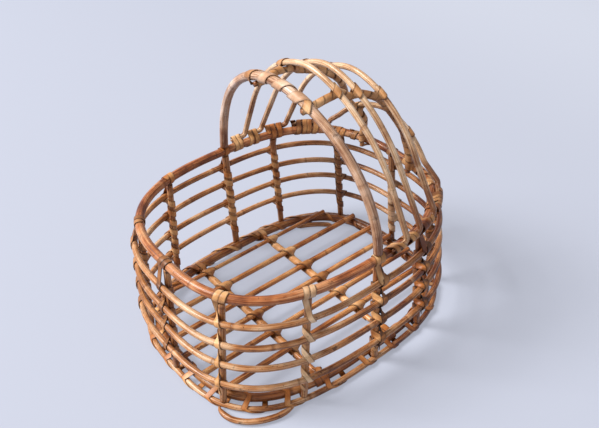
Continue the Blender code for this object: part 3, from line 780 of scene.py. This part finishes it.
for number, (place, radius) in enumerate(slats(), 1):
    height = SLAT_BOTTOM + radius
    overhang = SLAT_OVERHANG * (1 - abs(place) * 2 / BASE_WIDTH)
    head, foot = (hoop_at(lambda point: abs(place) - abs(point.y), end, pi / 2).x for end in (0, pi))
    head, foot = head + overhang, foot - overhang
    draw = Random(90 + number)
    sway, dip = draw.uniform(-0.0006, 0.0006), draw.uniform(-0.0004, 0.0004)
    points = [Vector((foot + (head - foot) * step / 40, place + sway * sin(pi * step / 40),
                      height + dip * sin(2 * pi * step / 40))) for step in range(41)]
    lay_cane(f"slat_{number}", points, radius * 2, slat_finish, f"floor_slat_{number}", 0.21, 90 + number)


def lash_crossbar(name, x, seed):
    """One strip along the crossbar, over every slat and twice round the crossbar between them."""
    along = Vector((0, -1, 0))
    radius = CROSSBAR_CANE / 2

    def path(spot):
        return Vector((x, -spot, CROSSBAR_HEIGHT)), along, UP

    stations = []
    last = None
    for place, slat_radius in slats():
        if last is not None:
            stations += behind(path, radius, last, -place - radius, FLOOR_WRAP, extra_turns=1)
        slat = (Vector((x, place, SLAT_BOTTOM + slat_radius)), Vector((1, 0, 0)), slat_radius)
        stations += over((path(-place)[0], along, radius), slat, UP, FLOOR_STRIP)
        last = -place + radius
    stations += behind(path, radius, last, last + radius * 3, FLOOR_STRIP)
    wind_strip("crossbar_binding_" + name, stations, floor_strip_finish, "crossbar_lashing_" + name, seed)


def flip(vector, side=-1):
    return Vector((vector.x, vector.y * side, vector.z))


def tie_crossbar(name, x, side, seed):
    """Turns of strip round the crossbar's end and the base hoop that it butts against."""
    spot = halve(0, pi, lambda angle: hoop_line(angle).x > x)

    def place(middle, distance):
        angle = further(middle, distance, 0)
        centre = hoop_line(angle)
        axis = across(angle, 0)
        end = Vector((x, centre.y - BASE_POLE / 2 - CROSSBAR_CANE / 2, CROSSBAR_HEIGHT))
        return centre, axis, [(centre, axis, BASE_POLE / 2 + STRIP_THICKNESS), (end, axis, CROSSBAR_CANE / 2)]

    stops = [(-0.25, further(spot, TIE_TRAVEL / 2, 0)), (1.5, further(spot, -TIE_TRAVEL / 2, 0))]
    stations = spiral(place, stops, BROAD_STRIP)
    wound = [tuple(flip(vector, side) for vector in station) for station in stations]
    wind_strip(f"crossbar_tie_{name}_{'far' if side > 0 else 'near'}", wound, amber_finish, None, seed)


for number, (name, share) in enumerate(zip(("foot", "head"), CROSSBAR_PLACES)):
    x = share * BASE_LENGTH / 2
    reach = hoop_at(lambda point: point.x - x, 0, pi).y - BASE_POLE / 2
    points = [Vector((x, reach - 2 * reach * step / 24, CROSSBAR_HEIGHT)) for step in range(25)]
    lay_cane("floor_crossbar_" + name, points, CROSSBAR_CANE, slat_finish, "crossbar_" + name, 0.2,
             100 + number)
    lash_crossbar(name, x, 110 + number)
    for side in (1, -1):
        tie_crossbar(name, x, side, 114 + 2 * number + side)

# The hood: a thick pale arch stands over the middle stakes and leans back, and four thinner ribs follow it
# down to the head end. Each rib's feet turn sharply and run forward along the rim's upper outer side.
ARCH_POLE = 0.0115
STRINGER_CANE = 0.0065
# The arch's angle on the rim, its lean, its rise, and how squarely it bends.
ARCH_ANGLE, ARCH_LEAN, ARCH_RISE, ARCH_POWER = 91.0, -0.021, 0.166, 1.95
LEAN_POWER = 1.9
ARCH_STEPS = 60
# Each rib's tail tip and foot along half the rim's length, its foot's inset as a share of half the rim's
# width, its rise and lean as shares of the arch's rise, and how squarely it bends.
RIBS = (
    ("hood_rib_1", 0.079, 0.213, 0.007, 1.042, -0.108, 1.74),
    ("hood_rib_2", 0.246, 0.355, 0.038, 0.988, -0.072, 1.72),
    ("hood_rib_3", 0.406, 0.548, 0.045, 0.880, -0.036, 1.82),
    ("hood_rib_4", 0.590, 0.812, 0.030, 0.434, 0.048, 1.72),
)
LEG_SHARE = 0.45
BEND_START, BEND_RISE = 0.35, 0.65
RIM_SEAT = 0.18083
PALE_KNOT = (0.30, 0.14, 0.065)

pale_finish = cane_finish(
    "pale_hood_cane", (0.92, 0.70, 0.50), (0.66, 0.39, 0.200), (0.22, 0.066, 0.015), "pale_cane", 0.5,
    PALE_KNOT, 0.34, 0.25, (0.19, 0.27))
arch_finish = cane_finish(
    "front_arch_pole", (0.84, 0.62, 0.48), (0.55, 0.305, 0.17), (0.18, 0.056, 0.016), "pale_cane", 0.6,
    PALE_KNOT, 0.34, 0.25, (0.17, 0.25))


def angle_at_x(x):
    return halve(0, pi, lambda angle: wall_point(angle, RIM_HEIGHT).x > x)


def arch_point(turn, foot, lean, rise, power):
    """Point of a hood hoop: turn runs from 0 at the far foot over the crown to pi at the near foot."""
    climb = abs(sin(turn)) ** (2 / power)
    spread = copysign(abs(cos(turn)) ** (2 / power), cos(turn))
    return Vector((foot.x + lean * climb ** LEAN_POWER, foot.y * spread, RIM_HEIGHT + rise * climb))


def arch_shape():
    return wall_point(radians(ARCH_ANGLE), RIM_HEIGHT), ARCH_LEAN, ARCH_RISE, ARCH_POWER


def rib_marks(rib):
    """Where along the rim a rib's tail starts, where it starts to bend, and where its leg stands."""
    tip, leg = rib[1] * RIM_LENGTH / 2, rib[2] * RIM_LENGTH / 2
    return tip, leg - RIB_BEND, leg


def rib_shape(rib):
    inset, rise, lean, power = rib[3:]
    leg = rib_marks(rib)[2]
    edge = wall_point(angle_at_x(leg), RIM_HEIGHT).y
    foot = Vector((leg, edge - inset * RIM_WIDTH / 2, RIM_HEIGHT))
    return foot, lean * ARCH_RISE, rise * ARCH_RISE, power


def half_arch(shape, bottom):
    """Points of the far half from the height bottom to just short of the crown."""
    first = halve(0, pi / 2, lambda turn: arch_point(turn, *shape).z < bottom)
    return [arch_point(first + (pi / 2 - first) * step / ARCH_STEPS, *shape) for step in range(ARCH_STEPS)]


def whole_arch(half, shape):
    return half + [arch_point(pi / 2, *shape)] + [flip(point) for point in reversed(half)]


def relaxed(points, step, rounds):
    """The line through the points with its corners eased, as a steamed cane bends."""
    line, _ = evenly(points, step)
    for _ in range(rounds):
        eased = [(a + b * 2 + c) / 4 for a, b, c in zip(line, line[1:], line[2:])]
        line = [line[0]] + eased + [line[-1]]
    return line


shape = arch_shape()
line = whole_arch(half_arch(shape, RIM_SEAT), shape)
lay_cane("front_arch", line, ARCH_POLE, arch_finish, "hood_front_arch", 0.26, 120)
for number, rib in enumerate(RIBS):
    shape = rib_shape(rib)
    tip, turn, foot = (angle_at_x(mark) for mark in rib_marks(rib))
    half = [tail_point(tip + (turn - tip) * share / 8) for share in range(8)]
    corner = tail_point(foot)
    start = tail_point(turn).lerp(corner, BEND_START)
    for step in range(9):
        share = step / 8
        half.append(start.lerp(corner, share).lerp(corner + UP * (RIB_BEND * BEND_RISE * share), share))
    half += half_arch(shape, RIM_HEIGHT + shape[2] * LEG_SHARE)
    line = relaxed(whole_arch(half, shape), 0.0015, 3)
    lay_cane(f"bent_rib_{number + 1}", line, RIB_CANE, pale_finish, rib[0], 0.24, 130 + number, pointed=0.012)

# The stringers: two thin canes under the arch and the ribs, a little either side of the crown, that come
# down inside the rim at the head. A strip runs down each, crosses every rib slantwise and winds closely
# round the stringer in between.
STRINGER_PLACE, STRINGER_REST = 0.045, 0.008
STRINGER_STRIP, STRINGER_PITCH = 0.0100, 0.0122

hood_strip_finish = strip_finish("hood", (0.76, 0.46, 0.23), (0.50, 0.235, 0.088), (0.18, 0.058, 0.016), 0.7)


def hood_crossings():
    """Far side, front to back: the hoop, the stringer under it, each as point, run and radius, and out."""
    hoops = []
    for shape, radius in [(arch_shape(), ARCH_POLE / 2)] + [(rib_shape(rib), RIB_CANE / 2) for rib in RIBS]:
        turn = acos((STRINGER_PLACE / shape[0].y) ** (shape[3] / 2))
        step = radians(1)
        run = (arch_point(turn + step, *shape) - arch_point(turn - step, *shape)).normalized()
        hoops.append((arch_point(turn, *shape), run, radius))
    angle = halve(0, pi / 2, lambda angle: wall_point(angle, RIM_HEIGHT).y < STRINGER_PLACE)
    hoops.append((rim_line(angle), across(angle, RIM_HEIGHT), RIM_POLE / 2))
    crossings = []
    for number, (point, run, radius) in enumerate(hoops):
        ahead = -UP
        if number < len(hoops) - 1:
            ahead = hoops[number + 1][0] - hoops[max(number - 1, 0)][0]
            ahead = (ahead - run * ahead.dot(run)).normalized()
        out = ahead.cross(run).normalized()
        if out.dot(point - UP * RIM_HEIGHT) < 0:
            out = -out
        middle = point - out * (radius + STRINGER_CANE / 2 + CLEARANCE)
        crossings.append(((point, run, radius), (middle, ahead, STRINGER_CANE / 2), out))
    return crossings


def bend(start, run, end, next_run):
    """Points of a smooth bend from one straight piece to the next, ends included."""
    pull = (end - start).length / 3
    points = []
    for step in range(13):
        t = step / 12
        first = start * (1 - t) ** 3 + (start + run * pull) * (3 * t * (1 - t) ** 2)
        points.append(first + (end - next_run * pull) * (3 * t * t * (1 - t)) + end * t ** 3)
    return points


def build_stringer(name, side, seed):

    def turned(cane):
        return flip(cane[0], side), flip(cane[1], side), cane[2]

    crossings = [(turned(hoop), turned(main), flip(out, side)) for hoop, main, out in hood_crossings()]
    middle, ahead, _ = crossings[0][1]
    route = [middle - ahead * ARCH_POLE / 3]
    rest, run = middle + ahead * STRINGER_REST, ahead
    marks = [ARCH_POLE / 3]
    for _, (middle, ahead, _), _ in crossings[1:]:
        route += bend(rest, run, middle - ahead * STRINGER_REST, ahead)
        marks.append(STRINGER_REST + marks_along(route)[-1])
        rest, run = middle + ahead * STRINGER_REST, ahead
    route.append(middle + ahead * STRINGER_CANE)
    lay_cane("stringer_" + name, route, STRINGER_CANE, base_finish, "hood_stringer_" + name, 0.13, seed)

    def path(distance):
        """Middle, run and outward side of the stringer at a distance from its front end."""
        left = distance
        for start, end in zip(route, route[1:]):
            length = (end - start).length
            if left <= length:
                break
            left -= length
        along = (end - start).normalized()
        before = min(bisect_right(marks, distance), len(marks) - 1) - 1
        share = (distance - marks[before]) / (marks[before + 1] - marks[before])
        out = crossings[before][2].lerp(crossings[before + 1][2], share)
        return start + along * left, along, (out - along * out.dot(along)).normalized()

    radius = STRINGER_CANE / 2 + CLEARANCE
    stations = []
    for number, (hoop, main, out) in enumerate(crossings):
        if number:
            start, end = marks[number - 1] + radius, marks[number] - radius
            turns = max(1, round((end - start) / STRINGER_PITCH))
            stations += behind(path, radius, start, end, STRINGER_STRIP, -side, turns)
        stations += over(main, hoop, out, BROAD_STRIP, -side)
    wind_strip("stringer_binding_" + name, stations, hood_strip_finish, "stringer_lashing_" + name,
               seed + 1)


build_stringer("far", 1, 140)
build_stringer("near", -1, 150)

# The arch's own binding: a broad pale strip of split cane wound slowly along its crown from one stringer to
# the other, smooth and close in colour to the pole.
CROWN_STRIP, CROWN_PITCH, CROWN_STEP = 0.0125, 0.0270, 0.001
CROWN_ENDS = (0.040, 0.045)

shape = arch_shape()
far, near = (acos((place / shape[0].y) ** (shape[3] / 2)) for place in CROWN_ENDS)
crown = [arch_point(far + (pi - near - far) * step / ARCH_STEPS, *shape) for step in range(ARCH_STEPS + 1)]
crown_line, _ = evenly(crown, CROWN_STEP)


def crown_path(distance):
    """Middle, run and outward side of the arch at a distance from the strip's far end."""
    number = min(int(distance / CROWN_STEP), len(crown_line) - 2)
    along = (crown_line[number + 1] - crown_line[number]).normalized()
    point = crown_line[number] + along * (distance - number * CROWN_STEP)
    out = (point - Vector((point.x, 0, RIM_HEIGHT))).normalized()
    return point, along, (out - along * out.dot(along)).normalized()


crown_finish = strip_finish("crown", (0.80, 0.57, 0.41), (0.60, 0.36, 0.22), (0.34, 0.16, 0.075), 0.35)
crown_length = CROWN_STEP * (len(crown_line) - 1)
crown_turns = round(crown_length / CROWN_PITCH)
wound = behind(crown_path, ARCH_POLE / 2 + 0.0002, 0, crown_length, CROWN_STRIP, 1, crown_turns, 105, 15)
wind_strip("crown_binding", wound, crown_finish, None, 158)

# The tails' lashings: the ribs' tails are tied to the rim by strips of split cane, one on each side for the
# two front ribs and one for the last, and by short ties wound aslant wherever a tail lies beside the rim.
TAILS = [rib_marks(rib)[:2] for rib in RIBS]
TAIL_START = 0.0007


def tail_place(spot, distance):
    return rim_place(spot, distance, TAILS)


def lash_tails(name, side, seed):
    pitch = STRIP + 0.0004

    def wound(turn, x, turns):
        """Stops of a few close turns that start at x and go on toward the head."""
        start = angle_at_x(x)
        end = further(start, -turns * pitch, RIM_HEIGHT)
        return [(turn, side * start), (turn + turns, side * end)]

    front = wound(-1 / 4 - 1.5, TAILS[0][0] + TAIL_START, 1.5) + wound(3 / 4, TAILS[1][0] + TAIL_START, 1.5)
    back = wound(3 / 4, sum(TAILS[3]) / 2 - pitch, 2.5)
    for number, (end, stops) in enumerate((("front", front), ("back", back))):
        wind_strip(f"{end}_tail_binding_{name}", spiral(tail_place, stops, STRIP), orange_finish,
                   f"tail_lashing_{end}_{name}", seed + number)


lash_tails("far", 1, 160)
lash_tails("near", -1, 170)

# Each tie's angle from the head end, its turns, its width, and its travel in each turn.
RIM_TIES = (
    (58.4, 1.5, 0.0074, 0.0082), (48.6, 1.5, 0.0070, 0.0090), (40.5, 1.5, 0.0072, 0.0100),
    (29.0, 2.0, 0.0070, 0.0078), (21.0, 1.5, 0.0072, 0.0090), (-59.0, 1.5, 0.0078, 0.0084),
    (-48.6, 1.5, 0.0076, 0.0084), (-40.6, 1.5, 0.0080, 0.0088), (-29.5, 2.0, 0.0080, 0.0082),
    (-23.0, 1.5, 0.0078, 0.0086), (-17.0, 2.0, 0.0080, 0.0082), (-10.5, 1.5, 0.0078, 0.0084),
)
for number, (angle, turns, width, travel) in enumerate(RIM_TIES):
    angle, half = radians(angle), turns * travel / 2
    stops = [(-0.25, further(angle, half, RIM_HEIGHT)), (turns - 0.25, further(angle, -half, RIM_HEIGHT))]
    finish = (amber_finish, brown_finish, orange_finish)[number % 3]
    wind_strip(f"rim_tie_{number + 1}", spiral(tail_place, stops, width), finish, None, 180 + number)

# The studio: a wide round floor of plain pale paper, painted lighter toward the back where the lamp
# lights it less, a pale wall of light behind it, and soft light from a window at the left. Paper and wall
# look as pale in gloss as to the eye.
PAPER, PAPER_BEHIND_PAINTED_LIGHT, HAZE = (0.47, 0.51, 0.62, 1), (0.62, 0.67, 0.78, 1), (0.64, 0.67, 0.79, 1)
WALL, ROOM_LIGHT = (0.62, 0.66, 0.77, 1), (0.95, 0.90, 0.86, 1)


def mix_when_seen(tree, output, hidden, seen, share):
    """Sends an output one shader where it only lights, mixed by a share with another where it is seen."""
    camera, glossy, passed = (Wire(tree).node("LightPath", output=f"Is {kind} Ray")
                              for kind in ("Camera", "Glossy", "Transmission"))
    shown = camera.math("MAXIMUM", camera, glossy.math("MAXIMUM", glossy, passed))
    mixed = shown.node("MixShader", (), {0: shown * share, 1: Wire(tree, hidden), 2: Wire(tree, seen)})
    tree.links.new(mixed.socket, tree.nodes[output].inputs["Surface"])


bpy.ops.mesh.primitive_circle_add(vertices=128, radius=6, fill_type="NGON", location=(0, 0, -0.0003))
ground = bpy.context.active_object
ground.name = "studio_floor"
paper, paper_shader, place, _, _ = new_material("pale_paper")
tree = paper.node_tree
paper_shader.inputs["Roughness"].default_value = 0.9
paper_shader.inputs["Specular IOR Level"].default_value = 0.1
# Painted light: the paper is lighter toward the back, where the lamp lights it less.
back = place.parts()[0].rising(0.45, 1.25)
paper_with_painted_light = place.node("Mix", {"data_type": "RGBA"}, {0: back, 6: PAPER, 7: PAPER_BEHIND_PAINTED_LIGHT}, 2)
tree.links.new(paper_with_painted_light.socket, paper_shader.inputs["Base Color"])
haze = paper_with_painted_light.node("Emission", (), {"Color": HAZE})
mix_when_seen(tree, "Material Output", paper_shader.outputs[0], haze.socket, 0.5)
ground.data.materials.append(paper)

scene = bpy.context.scene
world = bpy.data.worlds.new("studio")
world.use_nodes = True
tree = world.node_tree
room = tree.nodes["Background"]
room.inputs["Color"].default_value = ROOM_LIGHT
room.inputs["Strength"].default_value = 0.28
wall = Wire(tree).node("Background", (), {"Color": WALL})
mix_when_seen(tree, "World Output", room.outputs[0], wall.socket, 1)
scene.world = world


LAMPS_AIM = Vector((0, 0, 0.1))


def add_lamp(name, place, size, power, colour):
    lamp = bpy.data.lights.new(name, "AREA")
    lamp.size = size
    lamp.energy = power
    lamp.color = colour
    holder = new_piece(name, lamp)
    holder.location = place
    holder.rotation_euler = (LAMPS_AIM - Vector(place)).to_track_quat("-Z", "Y").to_euler()


add_lamp("window_left", (-4.4, 3.0, 5.4), 3.2, 930, (1.0, 0.97, 0.94))
add_lamp("fill_front", (0.2, -1.6, 1.2), 1.6, 4, (1.0, 0.96, 0.92))

# The camera, on a tripod a metre away, looking down at the basket's foot end and near side.
AZIMUTH, ELEVATION = radians(-40.28), radians(37.45)
TARGET, DISTANCE = Vector((0.04675, 0.0456, 0.1)), 0.9907
back = Vector((sin(AZIMUTH) * cos(ELEVATION), -cos(AZIMUTH) * cos(ELEVATION), sin(ELEVATION)))
view = bpy.data.cameras.new("photo_view")
view.lens = 43.535
view.sensor_width = 36
camera = new_piece("photo_view", view)
camera.location = TARGET + back * DISTANCE
camera.rotation_euler = back.to_track_quat("Z", "Y").to_euler()
scene.camera = camera
scene.view_settings.view_transform = "Standard"
